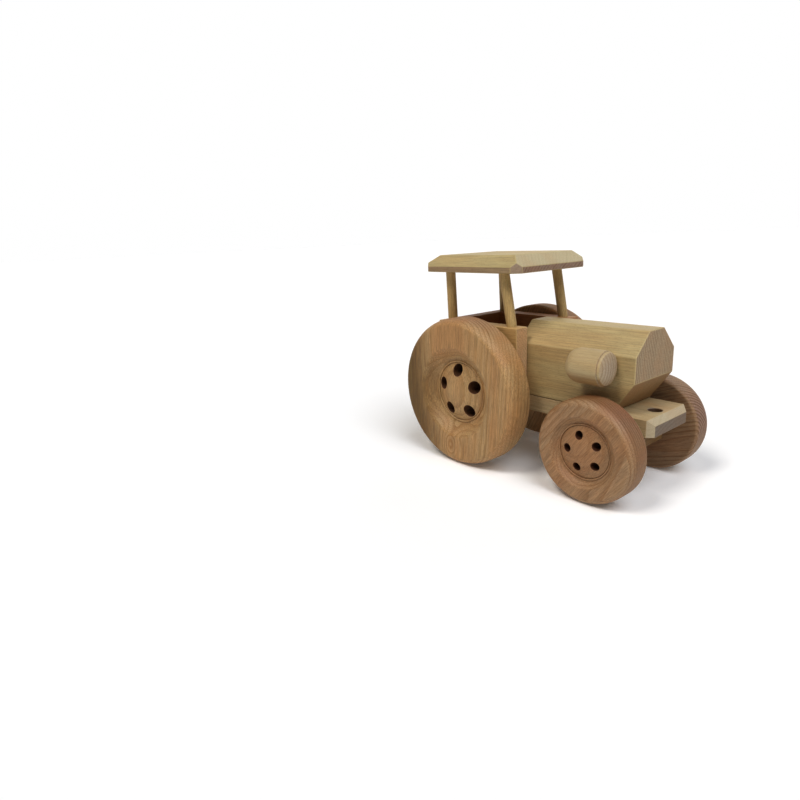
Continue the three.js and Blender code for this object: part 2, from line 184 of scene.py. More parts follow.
def plane_off(obj, point, normal):
    """Planes away everything on the normal's side of a point, and closes the cut."""
    bm = bmesh.new()
    bm.from_mesh(obj.data)
    everything = bm.verts[:] + bm.edges[:] + bm.faces[:]
    result = bmesh.ops.bisect_plane(
        bm, geom=everything, dist=1e-7, plane_co=point, plane_no=normal, clear_outer=True,
    )
    rim = [e for e in result["geom_cut"] if isinstance(e, bmesh.types.BMEdge)]
    bmesh.ops.holes_fill(bm, edges=rim)
    bmesh.ops.recalc_face_normals(bm, faces=bm.faces)
    bm.to_mesh(obj.data)
    bm.free()


def turned(name, profile, place, segments=96):
    """A solid of revolution: (radius, height) points about an axis; place(u, v, height) gives a point.

    A profile that starts and ends on the axis closes itself there, and any other closes into a ring.
    """
    bm = bmesh.new()
    loops = []
    for radius, height in profile:
        if radius < 1e-9:
            loops.append([bm.verts.new(place(0, 0, height))])
            continue
        angles = [2 * math.pi * k / segments for k in range(segments)]
        circle = [(radius * math.sin(angle), radius * math.cos(angle)) for angle in angles]
        loops.append([bm.verts.new(place(u, v, height)) for u, v in circle])
    pairs = list(zip(loops, loops[1:]))
    if len(loops[0]) > 1:
        pairs.append((loops[-1], loops[0]))
    for lower, upper in pairs:
        for k in range(segments):
            n = (k + 1) % segments
            corners = [loop[i % len(loop)] for loop, i in ((lower, k), (lower, n), (upper, n), (upper, k))]
            bm.faces.new(list(dict.fromkeys(corners)))
    return add_object(name, bm)


def along(start, end):
    """The place function of an axis between two points: heights run from start towards end."""
    direction = (Vector(end) - Vector(start)).normalized()
    turn = direction.to_track_quat("Z", "Y").to_matrix()
    return lambda u, v, height: Vector(start) + turn @ Vector((u, v, height))


def drill(start, end, radius, segments=48):
    length = (Vector(end) - Vector(start)).length
    profile = [(0, 0), (radius, 0), (radius, length), (0, length)]
    return turned("drill", profile, along(start, end), segments)


def settle(obj):
    """Makes an object's modifiers part of its mesh."""
    bpy.context.view_layer.update()
    shaped = obj.evaluated_get(bpy.context.evaluated_depsgraph_get())
    mesh = bpy.data.meshes.new_from_object(shaped)
    obj.modifiers.clear()
    old, obj.data = obj.data, mesh
    bpy.data.meshes.remove(old)
    mesh.name = obj.name


def cut(obj, cutters):
    """Cuts tools out of a piece, and removes the tools."""
    for cutter in cutters:
        modifier = obj.modifiers.new("cut", "BOOLEAN")
        modifier.operation = "DIFFERENCE"
        modifier.solver = "EXACT"
        modifier.object = cutter
    settle(obj)
    for cutter in cutters:
        bpy.data.objects.remove(cutter)


def sand(obj, width, segments=3, angle=32):
    """Rounds every arris of a sawn piece, and marks the rounded strips, which the material paints paler:
    partly as sanded wood, partly as a painted highlight.
    """
    obj.data.materials.clear()
    for _ in range(2):
        obj.data.materials.append(None)
    modifier = obj.modifiers.new("sand", "BEVEL")
    modifier.width = width
    modifier.segments = segments
    modifier.limit_method = "ANGLE"
    modifier.angle_limit = math.radians(angle)
    modifier.miter_outer = "MITER_ARC"
    modifier.use_clamp_overlap = True
    modifier.material = 1
    settle(obj)
    mesh = obj.data
    on_strip = [True] * len(mesh.vertices)
    for polygon in mesh.polygons:
        if polygon.material_index != 1:
            for index in polygon.vertices:
                on_strip[index] = False
        polygon.material_index = 0
    sanded_and_highlit = mesh.attributes.new("arris", "FLOAT", "POINT")
    sanded_and_highlit.data.foreach_set("value", [float(v) for v in on_strip])
    mesh.materials.clear()


def mark_bores(obj, centres, radius, across):
    """Marks the walls of parallel holes for the material, which paints them dark as painted shade.

    across is the two axes that the holes don't run along.
    """
    marks = []
    for vertex in obj.data.vertices:
        spans = (math.dist([vertex.co[i] for i in across], [centre[i] for i in across]) for centre in centres)
        marks.append(float(min(spans) < radius + 0.1 * MM))
    obj.data.attributes.new("bore", "FLOAT", "POINT").data.foreach_set("value", marks)


def smooth(obj, angle=35):
    """Smooth shading that keeps flat faces flat and hard edges hard."""
    obj.data.polygons.foreach_set("use_smooth", [True] * len(obj.data.polygons))
    obj.data.set_sharp_from_angle(angle=math.radians(angle))
    modifier = obj.modifiers.new("weighted", "WEIGHTED_NORMAL")
    modifier.keep_sharp = True
    settle(obj)


def join_frame(obj, body, nodes, material):
    """Hands a finished piece to the frame: what it stands for, what it rides on and what it is made of."""
    smooth(obj)
    obj.data.materials.clear()
    obj.data.materials.append(material)
    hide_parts(*nodes)
    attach(obj, body)


# ---- Beech -------------------------------------------------------------------------------------


class Nodes:
    """Short words for making a material's nodes."""

    def __init__(self, tree):
        self.tree = tree
        self.shader = tree.nodes["Principled BSDF"]

    def add(self, kind, **settings):
        node = self.tree.nodes.new(kind)
        for key, value in settings.items():
            setattr(node, key, value)
        return node

    def link(self, source, target):
        self.tree.links.new(source, target)

    def feed(self, socket, value):
        if isinstance(value, bpy.types.NodeSocket):
            self.link(value, socket)
        elif isinstance(value, (tuple, list)) and len(value) == 3 and socket.type == "RGBA":
            socket.default_value = (*value, 1)
        else:
            socket.default_value = value

    def math(self, operation, *values, clamp=False):
        node = self.add("ShaderNodeMath", operation=operation, use_clamp=clamp)
        for socket, value in zip(node.inputs, values):
            self.feed(socket, value)
        return node.outputs[0]

    def vector(self, operation, *values):
        node = self.add("ShaderNodeVectorMath", operation=operation)
        for socket, value in zip(node.inputs, values):
            self.feed(socket, value)
        return node.outputs["Value" if operation in ("LENGTH", "DOT_PRODUCT") else "Vector"]

    def mix(self, factor, a, b, blend="MIX"):
        node = self.add("ShaderNodeMix", data_type="RGBA", blend_type=blend)
        for index, value in ((0, factor), (6, a), (7, b)):  # the colour mix's own sockets
            self.feed(node.inputs[index], value)
        return node.outputs[2]

    def noise(self, vector, scale=1.0, detail=2.0, roughness=0.5):
        node = self.add("ShaderNodeTexNoise")
        self.link(vector, node.inputs["Vector"])
        node.inputs["Scale"].default_value = scale
        node.inputs["Detail"].default_value = detail
        node.inputs["Roughness"].default_value = roughness
        return node.outputs["Fac"]

    def grey(self, value):
        node = self.add("ShaderNodeCombineColor")
        for channel in node.inputs:
            self.link(value, channel)
        return node.outputs["Color"]

    def ramp(self, factor, stops):
        """A value that follows (position, value) stops."""
        node = self.add("ShaderNodeValToRGB")
        self.link(factor, node.inputs["Fac"])
        elements = node.color_ramp.elements
        while len(elements) < len(stops):
            elements.new(0.5)
        for element, (position, value) in zip(elements, stops):
            element.position = position
            element.color = (value, value, value, 1)
        return node.outputs["Color"]


# Each multiplies the wood's colour, channel by channel. One of them is painted shade, as marked.
EARLY = (1.10, 1.11, 1.14)
LATE = (0.68, 0.55, 0.40)
WARM = (1.04, 0.84, 0.70)
# Darker towards one side of a piece, from a place over a reach.
SIDE_DARKENING = (0.36, 0.32, 0.16)
# Painted shade on the faces that look down.
PAINTED_UNDERSIDE_SHADE = (0.55, 0.36, 0.2)
RIM = (0.76, 0.67, 0.54)
EDGE = (0.69, 0.60, 0.67)

SAWN = (0.58, 0.54, 0.42)  # the colour that a slanted saw cut tends to
ROUGHNESS = 0.55
GRAIN_DEPTH = 0.14 * MM


def new_material(name):
    material = bpy.data.materials.new(name)
    material.use_nodes = True
    return material, Nodes(material.node_tree)


def stretched(nodes, point, along_fibre, across):
    """Wood coordinates scaled for a noise whose marks are long in the fibre direction."""
    return nodes.vector("MULTIPLY", point, (along_fibre, across, across))


def grain_frame(nodes, place, pith, direction):
    """A point in the wood's own millimetres, with X along the fibres and the pith on X."""
    mapping = nodes.add("ShaderNodeMapping", vector_type="TEXTURE")
    nodes.link(place, mapping.inputs["Vector"])
    mapping.inputs["Location"].default_value = pith
    mapping.inputs["Rotation"].default_value = Vector((1, 0, 0)).rotation_difference(direction).to_euler()
    mapping.inputs["Scale"].default_value = (MM, MM, MM)
    return mapping.outputs["Vector"]


def lean(nodes, normal, axis):
    """How far a face looks along an axis, either way: 1 when it is square to the axis."""
    return nodes.math("ABSOLUTE", nodes.vector("DOT_PRODUCT", normal, axis))


def year_rings(nodes, point, ring, wobble, swell):
    """How far a point is through its year's growth, 0 to 1, and how strongly that year shows."""
    radius = nodes.vector("LENGTH", nodes.vector("MULTIPLY", point, (0, 1, 1)))
    slow = nodes.noise(stretched(nodes, point, 0.008, 0.035), detail=1)
    quick = nodes.noise(stretched(nodes, point, 0.025, 0.35), detail=2)
    radius = nodes.math("MULTIPLY_ADD", slow, wobble, radius)
    radius = nodes.math("MULTIPLY_ADD", quick, 0.8, radius)
    years = nodes.math("DIVIDE", nodes.math("ADD", radius, swell), ring)
    harvest = nodes.add("ShaderNodeTexWhiteNoise", noise_dimensions="1D")
    nodes.link(nodes.math("FLOOR", years), harvest.inputs["W"])
    return nodes.math("FRACT", years), nodes.math("MULTIPLY_ADD", harvest.outputs["Value"], 0.6, 0.4)


def late_wood(nodes, season, vigour, end):
    """The dark part of each ring: soft along the board, crisp on the end grain."""
    soft = nodes.ramp(season, [(0, 0), (0.45, 0.08), (0.80, 0.75), (0.92, 1), (1, 0)])
    crisp = nodes.ramp(season, [(0, 0.1), (0.25, 0), (0.5, 0.15), (0.7, 1), (0.95, 1), (1, 0.1)])
    soft, crisp = (nodes.math("MULTIPLY", edge, vigour) for edge in (soft, crisp))
    return nodes.mix(end, soft, crisp)


def grain_marks(nodes, point):
    """Marks that run with the grain: fibres, hairs, ray flecks and broad patches."""
    fibres = nodes.noise(stretched(nodes, point, 0.028, 1.5), detail=3, roughness=0.7)
    hairs = nodes.noise(stretched(nodes, point, 0.10, 3.2), detail=2, roughness=0.6)
    cells = nodes.add("ShaderNodeTexVoronoi")
    nodes.link(stretched(nodes, point, 0.30, 1.5), cells.inputs["Vector"])
    cells.inputs["Scale"].default_value = 1.0
    rays = nodes.ramp(cells.outputs["Distance"], [(0.0, 1), (0.14, 1), (0.30, 0), (1, 0)])
    patches = nodes.noise(stretched(nodes, point, 0.012, 0.055), detail=2)
    return fibres, hairs, rays, patches


def side_share(nodes, place, patches, start, reach):
    """How far a point is along the reach, 0 to 1, with a ragged border."""
    offset = nodes.vector("SUBTRACT", place, start)
    share = nodes.vector("DOT_PRODUCT", offset, tuple(Vector(reach) / Vector(reach).length_squared))
    ragged = nodes.math("MULTIPLY_ADD", nodes.math("SUBTRACT", patches, 0.5), 0.6, share)
    return nodes.ramp(ragged, [(0, 0), (0.1, 0), (0.9, 1), (1, 1)])


def face_tones(nodes, tone, normal, underside_shade, rim, edge):
    """Darker, redder faces: those that look down, as painted shade, the rims that roll and the edges of a
    board.
    """
    down = nodes.vector("DOT_PRODUCT", normal, (0, 0, -1))
    down = nodes.ramp(down, [(0, 0), (0.15, 0), (0.5, 1), (1, 1)])
    tread = nodes.ramp(lean(nodes, normal, (0, 1, 0)), [(0, 1), (0.1, 1), (0.4, 0), (1, 0)])
    upright = nodes.ramp(lean(nodes, normal, (0, 0, 1)), [(0, 1), (0.15, 1), (0.4, 0), (1, 0)])
    for share, strength, color in ((down, underside_shade, PAINTED_UNDERSIDE_SHADE), (tread, rim, RIM), (upright, edge, EDGE)):
        tone = nodes.mix(nodes.math("MULTIPLY", share, strength), tone, color, blend="MULTIPLY")
    return tone


def end_grain(nodes, tone, place, end, end_tone):
    """End grain is bluer, and speckled with darker pores."""
    pores = nodes.noise(place, scale=900, detail=2)
    pores = nodes.ramp(pores, [(0, 0.7), (0.38, 0.93), (0.6, 1.04), (1, 1.04)])
    color = nodes.mix(1.0, nodes.grey(pores), (end_tone, end_tone, end_tone * 1.30), blend="MULTIPLY")
    return nodes.mix(end, tone, color, blend="MULTIPLY")


def marked(nodes, attribute, strength):
    """The strength where the mesh carries a mark, and 0 elsewhere."""
    mark = nodes.add("ShaderNodeAttribute", attribute_name=attribute).outputs["Fac"]
    return nodes.math("MULTIPLY", mark, strength)


def beech(name, fibre, pith, base, ring=2.4, contrast=0.5, wobble=3.0, fleck=0.5, flush=0.5, end_tone=0.75,
          end_rings=0.5, slant=0.0, streak=0.2, rim=0.0, edge=0.0, turned_about=None, burl=None, darker_side=None):
    """Solid beech. Rings are cylinders about the pith, a line along the fibre direction.

    base is the middle colour. ring is the width of one year in millimetres, contrast says how dark its late
    wood is, end_rings how much darker that is on end grain, and wobble how far its line strays. flush is the
    strength of the warm patches, fleck that of the ray flecks and streak that of the fibres. end_tone
    multiplies the colour of end grain, and slant pales a face sawn at a slant to the fibres. rim and edge
    darken a tread and a board's upright faces. turned_about is the centre of a piece from the lathe, whose
    axle runs along Y; other pieces get painted shade on the faces that look down. burl is (place, width,
    depth):
    a spot where the rings bulge. The last argument is (place, reach): the colour darkens from the place on
    over the reach.
    """
    light, dark, warm = (tuple(c * k for c, k in zip(base, share)) for share in (EARLY, LATE, WARM))
    material, nodes = new_material(name)
    texture = nodes.add("ShaderNodeTexCoord")
    place, normal = texture.outputs["Object"], texture.outputs["Normal"]
    direction = Vector(fibre).normalized()
    point = grain_frame(nodes, place, pith, direction)
    facing = lean(nodes, normal, tuple(direction))
    end = nodes.math("POWER", facing, 6.0)

    figure, swell = 0.0, 0.0
    if burl:
        figure = bulge(nodes, place, *burl[:2])
        swell = nodes.math("MULTIPLY", figure, burl[2])
    season, vigour = year_rings(nodes, point, ring, wobble, swell)
    rings = late_wood(nodes, season, vigour, end)
    fibres, hairs, rays, patches = grain_marks(nodes, point)

    depth = nodes.math("MULTIPLY_ADD", end, end_rings, nodes.math("ADD", figure, contrast))
    tone = nodes.mix(nodes.math("MULTIPLY", rings, depth, clamp=True), light, dark)
    warmth = nodes.ramp(patches, [(0, 0), (0.40, 0), (0.66, 1), (1, 1)])
    tone = nodes.mix(nodes.math("MULTIPLY", warmth, flush), tone, warm)
    tone = nodes.mix(nodes.math("MULTIPLY", rays, fleck), tone, dark)
    strands = nodes.ramp(fibres, [(0, 0), (0.3, 0), (0.7, 1), (1, 1)])
    shade = nodes.math("MULTIPLY_ADD", strands, 2 * streak, 1 - streak)
    shade = nodes.math("MULTIPLY", shade, nodes.math("MULTIPLY_ADD", hairs, 0.6, 0.7))
    tone = nodes.mix(1.0, tone, nodes.grey(shade), blend="MULTIPLY")
    if darker_side:
        tone = nodes.mix(side_share(nodes, place, patches, *darker_side), tone, SIDE_DARKENING, blend="MULTIPLY")

    sawn = nodes.ramp(facing, [(0, 0), (0.3, 0), (0.62, 1), (0.8, 1), (1, 0)])
    tone = nodes.mix(nodes.math("MULTIPLY", sawn, slant), tone, SAWN)
    # Faces that look down get painted shade, except on turned pieces.
    tone = face_tones(nodes, tone, normal, 0.0 if turned_about else 0.7, rim, edge)
    tone = end_grain(nodes, tone, place, end, end_tone)
    # Paler arrises: partly the colour of freshly sanded wood, partly a painted highlight along the edges.
    tone = nodes.mix(marked(nodes, "arris", 0.4), tone, tuple(min(1, c * 1.12) for c in light))
    # Painted shade: the walls of drilled holes are painted dark.
    tone = nodes.mix(marked(nodes, "bore", 0.85), tone, PAINTED_BORE_SHADE)
    nodes.link(tone, nodes.shader.inputs["Base Color"])

    gloss = nodes.math("MULTIPLY_ADD", fibres, 0.16, ROUGHNESS - 0.08)
    nodes.link(nodes.math("MULTIPLY_ADD", end, 0.14, gloss), nodes.shader.inputs["Roughness"])
    nodes.shader.inputs["Specular IOR Level"].default_value = 0.42

    height = nodes.math("MULTIPLY_ADD", hairs, 0.5, nodes.math("MULTIPLY", fibres, 0.4))
    height = nodes.math("MULTIPLY_ADD", rings, 0.35, height)
    height = nodes.math("MULTIPLY_ADD", rays, -0.5, height)
    if turned_about:
        height = nodes.math("ADD", height, lathe_marks(nodes, place, turned_about))
    bump = nodes.add("ShaderNodeBump")
    bump.inputs["Strength"].default_value = 0.4
    bump.inputs["Distance"].default_value = GRAIN_DEPTH
    nodes.link(height, bump.inputs["Height"])
    nodes.link(bump.outputs["Normal"], nodes.shader.inputs["Normal"])
    return material


def bulge(nodes, place, centre, width):
    """A smooth hill, 1 at its centre, that makes the rings close in nested ovals."""
    offset = nodes.vector("DIVIDE", nodes.vector("SUBTRACT", place, centre), width)
    squared = nodes.vector("DOT_PRODUCT", offset, offset)
    return nodes.math("EXPONENT", nodes.math("MULTIPLY", squared, -1.0))


def lathe_marks(nodes, place, centre):
    """Faint rings that the turning tool leaves about an axle, which runs along Y."""
    offset = nodes.vector("SUBTRACT", place, centre)
    radius = nodes.vector("LENGTH", nodes.vector("MULTIPLY", offset, (1, 0, 1)))
    uneven = nodes.noise(nodes.vector("MULTIPLY", place, (40, 40, 40)), detail=1)
    wave = nodes.math("SINE", nodes.math("MULTIPLY_ADD", radius, 2 * math.pi / (0.7 * MM), uneven))
    return nodes.math("MULTIPLY", wave, 0.22)


def srgb(red, green, blue):
    """A colour given in the 0 to 255 steps of a screen, as the shader's linear values."""
    def linear(step):
        part = step / 255
        return part / 12.92 if part <= 0.04045 else ((part + 0.055) / 1.055) ** 2.4
    return tuple(linear(step) for step in (red, green, blue))


# Painted shade for the walls of drilled holes.
PAINTED_BORE_SHADE = srgb(70, 34, 16)  # the wall of a drilled hole


# ---- Boards and blocks -------------------------------------------------------------------------

DOWEL_CLEARANCE = 0.12 * MM
ROOF_EDGE = 4.9 * MM
ROOF_BEVELS = {"side": 9.1 * MM, "front": 9.1 * MM, "rear": 12 * MM}
ROOF_CORNER = 6.5 * MM
CHASSIS_CORNER = 4.2 * MM
CHASSIS_BEVEL = 4 * MM
HITCH_INSET = 11.7 * MM
HITCH_RADIUS = 4.75 * MM
HITCH_RIM = 0.5 * MM
HOOD_UNDERCUT = {"length": 15.2 * MM, "height": 22.5 * MM}
HOOD_CHAMFER = 15.9 * MM
HOOD_TOP_HALF_WIDTH = 10 * MM
AXLE_CLEARANCE = 0.5 * MM
ARRIS = {"board": 0.7 * MM, "hood": 0.8 * MM, "beam": 1.0 * MM, "floor": 0.5 * MM}  # the sanded roundings


def rod_axis(node):
    """(start, end, radius) of a round rod, from the corners of its CAD mesh."""
    low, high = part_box(node)
    size = high - low
    longest = max(range(3), key=lambda i: size[i])
    middle = (low[longest] + high[longest]) / 2
    corners = {tuple(round(c, 7) for c in v.co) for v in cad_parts[node].data.vertices}
    ends = []
    for half in (lambda c: c[longest] < middle, lambda c: c[longest] > middle):
        points = [Vector(c) for c in corners if half(c)]
        ends.append(sum(points, Vector()) / len(points))
    radius = max((Vector(c) - ends[0]).length for c in corners if c[longest] < middle)
    return ends[0], ends[1], radius


def socket_for(node):
    """A drill a little wider and longer than a dowel."""
    start, end, radius = rod_axis(node)
    spare = (end - start).normalized() * 0.4 * MM
    return drill(start - spare, end + spare, radius + DOWEL_CLEARANCE)


def axle_drill(node):
    start, end, radius = rod_axis(node)
    return drill(start, end, radius + AXLE_CLEARANCE)


def clip_corners(obj, low, high, ends, clip):
    """Clips the upright corners of a board at its front (1) or rear (-1) end."""
    for end in ends:
        x = high.x if end > 0 else low.x
        for side, y in ((1, high.y), (-1, low.y)):
            plane_off(obj, (x - end * clip, y, 0), (end, side, 0))


def hitch_hole(x, bottom, top):
    """A drill that widens at both faces of the board, so that its rims come out bevelled."""
    depth = top - bottom
    wide = HITCH_RADIUS + HITCH_RIM
    profile = [
        (0, -MM), (wide + MM, -MM), (wide, 0), (HITCH_RADIUS, HITCH_RIM),
        (HITCH_RADIUS, depth - HITCH_RIM), (wide, depth), (wide + MM, depth + MM), (0, depth + MM),
    ]
    return turned("hitch_hole", profile, along((x, 0, bottom), (x, 0, top)), 72)


def chassis_board(material):
    low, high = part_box("chassis_board")
    piece = board("chassis", low, high)
    clip_corners(piece, low, high, (1, -1), CHASSIS_CORNER)
    for end, x in ((1, high.x), (-1, low.x)):
        plane_off(piece, (x - end * CHASSIS_BEVEL, 0, high.z), (end, 0, 1))
    hitches = (high.x - HITCH_INSET, low.x + HITCH_INSET)
    holes = [hitch_hole(x, low.z, high.z) for x in hitches]
    for block in ("hood", "cab_floor"):
        holes += [socket_for(f"{block}_dowel_{end}") for end in ("rear", "front")]
    holes += [socket_for(f"axle_block_dowel_{side}") for side in SIDES]
    holes.append(axle_drill("rear_axle"))
    sand(piece, ARRIS["board"])
    cut(piece, holes)
    mark_bores(piece, [(x, 0, 0) for x in hitches], HITCH_RADIUS, (0, 1))
    join_frame(piece, "tractor_body", ["chassis_board"], material)


def hood_block(material):
    low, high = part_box("hood_block")
    shoulder = high.z - HOOD_CHAMFER
    section = [
        (low.y, low.z), (high.y, low.z), (high.y, shoulder), (HOOD_TOP_HALF_WIDTH, high.z),
        (-HOOD_TOP_HALF_WIDTH, high.z), (low.y, shoulder),
    ]
    piece = prism("hood", section, "x", low.x, high.x)
    length, height = HOOD_UNDERCUT["length"], HOOD_UNDERCUT["height"]
    plane_off(piece, (high.x, 0, low.z + height), (height, 0, -length))
    sand(piece, ARRIS["hood"])
    drills = [socket_for(f"hood_dowel_{end}") for end in ("rear", "front")]
    drills += [socket_for(f"headlamp_dowel_{side}") for side in SIDES]
    cut(piece, drills)
    join_frame(piece, "tractor_body", ["hood_block"], material)


def front_axle_block(material):
    piece = board("front_axle_beam", *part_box("front_axle_block"))
    sand(piece, ARRIS["beam"])
    cut(piece, [axle_drill("front_axle")] + [socket_for(f"axle_block_dowel_{side}") for side in SIDES])
    join_frame(piece, "tractor_body", ["front_axle_block"], material)


def cab(materials):
    for side in SIDES:
        wall = board(f"cab_side_{side}", *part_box(f"cab_wall_{side}"))
        sand(wall, ARRIS["board"])
        sockets = [socket_for(f"roof_post_{end}_{side}") for end in ("front", "rear")]
        cut(wall, [axle_drill("rear_axle")] + sockets)
        join_frame(wall, "tractor_body", [f"cab_wall_{side}"], materials[f"wall_{side}"])
    back = board("cab_back", *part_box("cab_wall_rear"))
    sand(back, ARRIS["board"])
    join_frame(back, "tractor_body", ["cab_wall_rear"], materials["wall_rear"])
    floor = board("cab_floor", *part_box("cab_floor_block"))
    sand(floor, ARRIS["floor"])
    sockets = [socket_for(f"cab_floor_dowel_{end}") for end in ("rear", "front")]
    cut(floor, [axle_drill("rear_axle")] + sockets)
    join_frame(floor, "tractor_body", ["cab_floor_block"], materials["cab_floor"])


def roof_board(material):
    low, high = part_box("roof_board")
    piece = board("roof", low, high)
    clip_corners(piece, low, high, (1, -1), ROOF_CORNER)
    brow = low.z + ROOF_EDGE
    rise = high.z - brow
    for side, y in ((1, high.y), (-1, low.y)):
        plane_off(piece, (0, y, brow), (0, side * rise, ROOF_BEVELS["side"]))
    plane_off(piece, (high.x, 0, brow), (rise, 0, ROOF_BEVELS["front"]))
    plane_off(piece, (low.x, 0, brow), (-rise, 0, ROOF_BEVELS["rear"]))
    sand(piece, ARRIS["board"], angle=20)
    cut(piece, [socket_for(f"roof_post_{end}_{side}") for end in ("front", "rear") for side in SIDES])
    join_frame(piece, "tractor_body", ["roof_board"], material)


# ---- Dowels, lamps and wheels ------------------------------------------------------------------


def arc(start, end, steps):
    """Angles from start to end, in degrees, as radians."""
    return [math.radians(start + (end - start) * step / steps) for step in range(steps + 1)]


def rounded_rod(radius, length, rounding, steps=4):
    """The profile of a rod with rounded ends."""
    profile = [(0, 0)]
    for step in range(steps + 1):
        angle = math.pi / 2 * step / steps
        profile.append((radius - rounding * (1 - math.sin(angle)), rounding * (1 - math.cos(angle))))
    profile += [(r, length - h) for r, h in reversed(profile)]
    return profile


def dowel(name, node, body, material, rounding=0.6 * MM):
    start, end, radius = rod_axis(node)
    profile = rounded_rod(radius, (end - start).length, rounding)
    piece = turned(name, profile, along(start, end), 48)
    join_frame(piece, body, [node], material)


LAMP_BACK = (8.5 * MM, 6.5 * MM)  # how far the rounding of the back reaches, along the axis and inwards
LAMP_CAP = 3.6 * MM
LAMP_GROOVE = 0.9 * MM
LAMP_DOME = 2.2 * MM
LAMP_PITH = 14 * MM  # from the lamp's outer side to the pith of its wood


def headlamp(side, material):
    """A short fat dowel along the hood: a rounded back, a groove behind its rim and a low domed face."""
    low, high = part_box(f"headlamp_{side}")
    radius = (high.z - low.z) / 2
    length = high.x - low.x
    centre_y = SIDES[side] * (max(abs(low.y), abs(high.y)) - radius)
    centre_z = (low.z + high.z) / 2
    reach, inset = LAMP_BACK
    profile = [(0, 0)]
    for angle in arc(0, 90, 10):
        profile.append((radius - inset * (1 - math.sin(angle)), reach * (1 - math.cos(angle))))
    groove = length - LAMP_CAP
    face = radius - 0.5 * MM
    brim = length - LAMP_DOME
    profile += [
        (radius, groove - 0.5 * LAMP_GROOVE), (radius - 0.25 * MM, groove - 0.3 * LAMP_GROOVE),
        (radius - LAMP_GROOVE, groove), (radius - LAMP_GROOVE, groove + 0.15 * MM),
        (face - 0.1 * MM, groove + 0.4 * LAMP_GROOVE), (face, groove + 0.6 * LAMP_GROOVE),
    ]
    for step in range(15, -1, -1):
        share = step / 16
        profile.append((face * share, brim + LAMP_DOME * (1 - share ** 2.6)))
    piece = turned(
        f"lamp_{side}", profile, lambda u, v, height: (low.x + height, centre_y + u, centre_z + v), 80,
    )
    inner = min(abs(low.y), abs(high.y))
    plane_off(piece, (0, SIDES[side] * inner, 0), (0, -SIDES[side], 0))
    cut(piece, [socket_for(f"headlamp_dowel_{side}")])
    join_frame(piece, "tractor_body", [f"headlamp_{side}"], material)


REAR_TURNING = {
    "hub_radius": 24 * MM, "hub_depth": 8.8 * MM, "dome_rise": 5.4 * MM, "bead": 0.8 * MM,
    "groove": 0.4 * MM, "face_from": 38 * MM, "shoulder_drop": 5.5 * MM, "shoulder_width": 9 * MM,
    "hole_circle": 18 * MM, "hole_radius": 5 * MM, "hole_phase": 3, "segments": 144,
}
FRONT_TURNING = {
    "hub_radius": 18.8 * MM, "hub_depth": 4.6 * MM, "dome_rise": 3.6 * MM, "bead": 0.6 * MM,
    "groove": 0.4 * MM, "face_from": 26 * MM, "shoulder_drop": 4.5 * MM, "shoulder_width": 8 * MM,
    "hole_circle": 12.1 * MM, "hole_radius": 2.9 * MM, "hole_phase": 15.9, "segments": 120,
}
INNER_EDGE = 2.4 * MM
BORE_DEPTH = 10.5 * MM
HOLES = 5
HOLE_RIM = 0.55 * MM
DRILL_SEGMENTS = 48


def hub_height(turning, width, radius):
    share = radius / turning["hub_radius"]
    return width - turning["hub_depth"] + turning["dome_rise"] * (1 - share * share)


def wheel_profile(turning, radius, width, bore):
    """A turned wheel: domed hub, groove, bead, cove, flat face, round shoulder, tread and back."""
    hub, depth, bead, groove = (turning[key] for key in ("hub_radius", "hub_depth", "bead", "groove"))
    edge = hub - groove
    profile = [(edge * step / 12, hub_height(turning, width, edge * step / 12)) for step in range(13)]
    base = width - depth
    profile += [(edge + 0.35 * groove, base - 0.8 * groove), (hub, base - 0.9 * groove)]
    for angle in arc(200, 0, 8):
        profile.append((hub + bead * (1.2 + math.cos(angle)), base + 0.2 * bead + bead * math.sin(angle)))
    cove_from = hub + 2.35 * bead
    cove_steps = 14
    for step in range(1, cove_steps + 1):
        share = step / cove_steps
        r = cove_from + (turning["face_from"] - cove_from) * share
        profile.append((r, width - depth * (1 + math.cos(math.pi * share)) / 2))
    drop, run = turning["shoulder_drop"], turning["shoulder_width"]
    for angle in arc(0, 90, 12):
        profile.append((radius - drop * (1 - math.sin(angle)), width - run * (1 - math.cos(angle))))
    for angle in arc(0, 90, 6):
        profile.append((radius - INNER_EDGE * (1 - math.cos(angle)), INNER_EDGE * (1 - math.sin(angle))))
    profile += [(bore + 0.5 * MM, 0), (bore, 0.5 * MM), (bore, BORE_DEPTH), (0, BORE_DEPTH)]
    return profile


def hole_centre(turning, angle):
    return turning["hole_circle"] * math.sin(angle), turning["hole_circle"] * math.cos(angle)


def lug_drill(turning, width, place, angle):
    """A drill for one hole, flared where it leaves the domed hub so that the rim comes out rounded."""
    centre = hole_centre(turning, angle)
    bottom_flare = [(HOLE_RIM + MM, -MM), (HOLE_RIM, 0), (0, HOLE_RIM)]
    rings = [(turning["hole_radius"] + out, lambda r, h=height: h) for out, height in bottom_flare]
    for turn in arc(0, 65, 4):
        out = HOLE_RIM * (1 - math.cos(turn))
        sink = HOLE_RIM * (1 - math.sin(turn))
        rings.append((turning["hole_radius"] + out, lambda r, s=sink: hub_height(turning, width, r) - s))
    reach = turning["hole_radius"] + HOLE_RIM + 0.6 * MM
    rings.append((reach, lambda r: hub_height(turning, width, r) + 0.35 * MM))
    rings.append((reach, lambda r: width + 2 * MM))
    bm = bmesh.new()
    loops = []
    for ring_radius, height_at in rings:
        loop = []
        for k in range(DRILL_SEGMENTS):
            turn = 2 * math.pi * k / DRILL_SEGMENTS
            u, v = centre[0] + ring_radius * math.sin(turn), centre[1] + ring_radius * math.cos(turn)
            loop.append(bm.verts.new(place(u, v, height_at(math.hypot(u, v)))))
        loops.append(loop)
    bm.faces.new(loops[0])
    bm.faces.new(loops[-1])
    for lower, upper in zip(loops, loops[1:]):
        for k in range(DRILL_SEGMENTS):
            n = (k + 1) % DRILL_SEGMENTS
            bm.faces.new((lower[k], lower[n], upper[n], upper[k]))
    return add_object("lug_drill", bm)


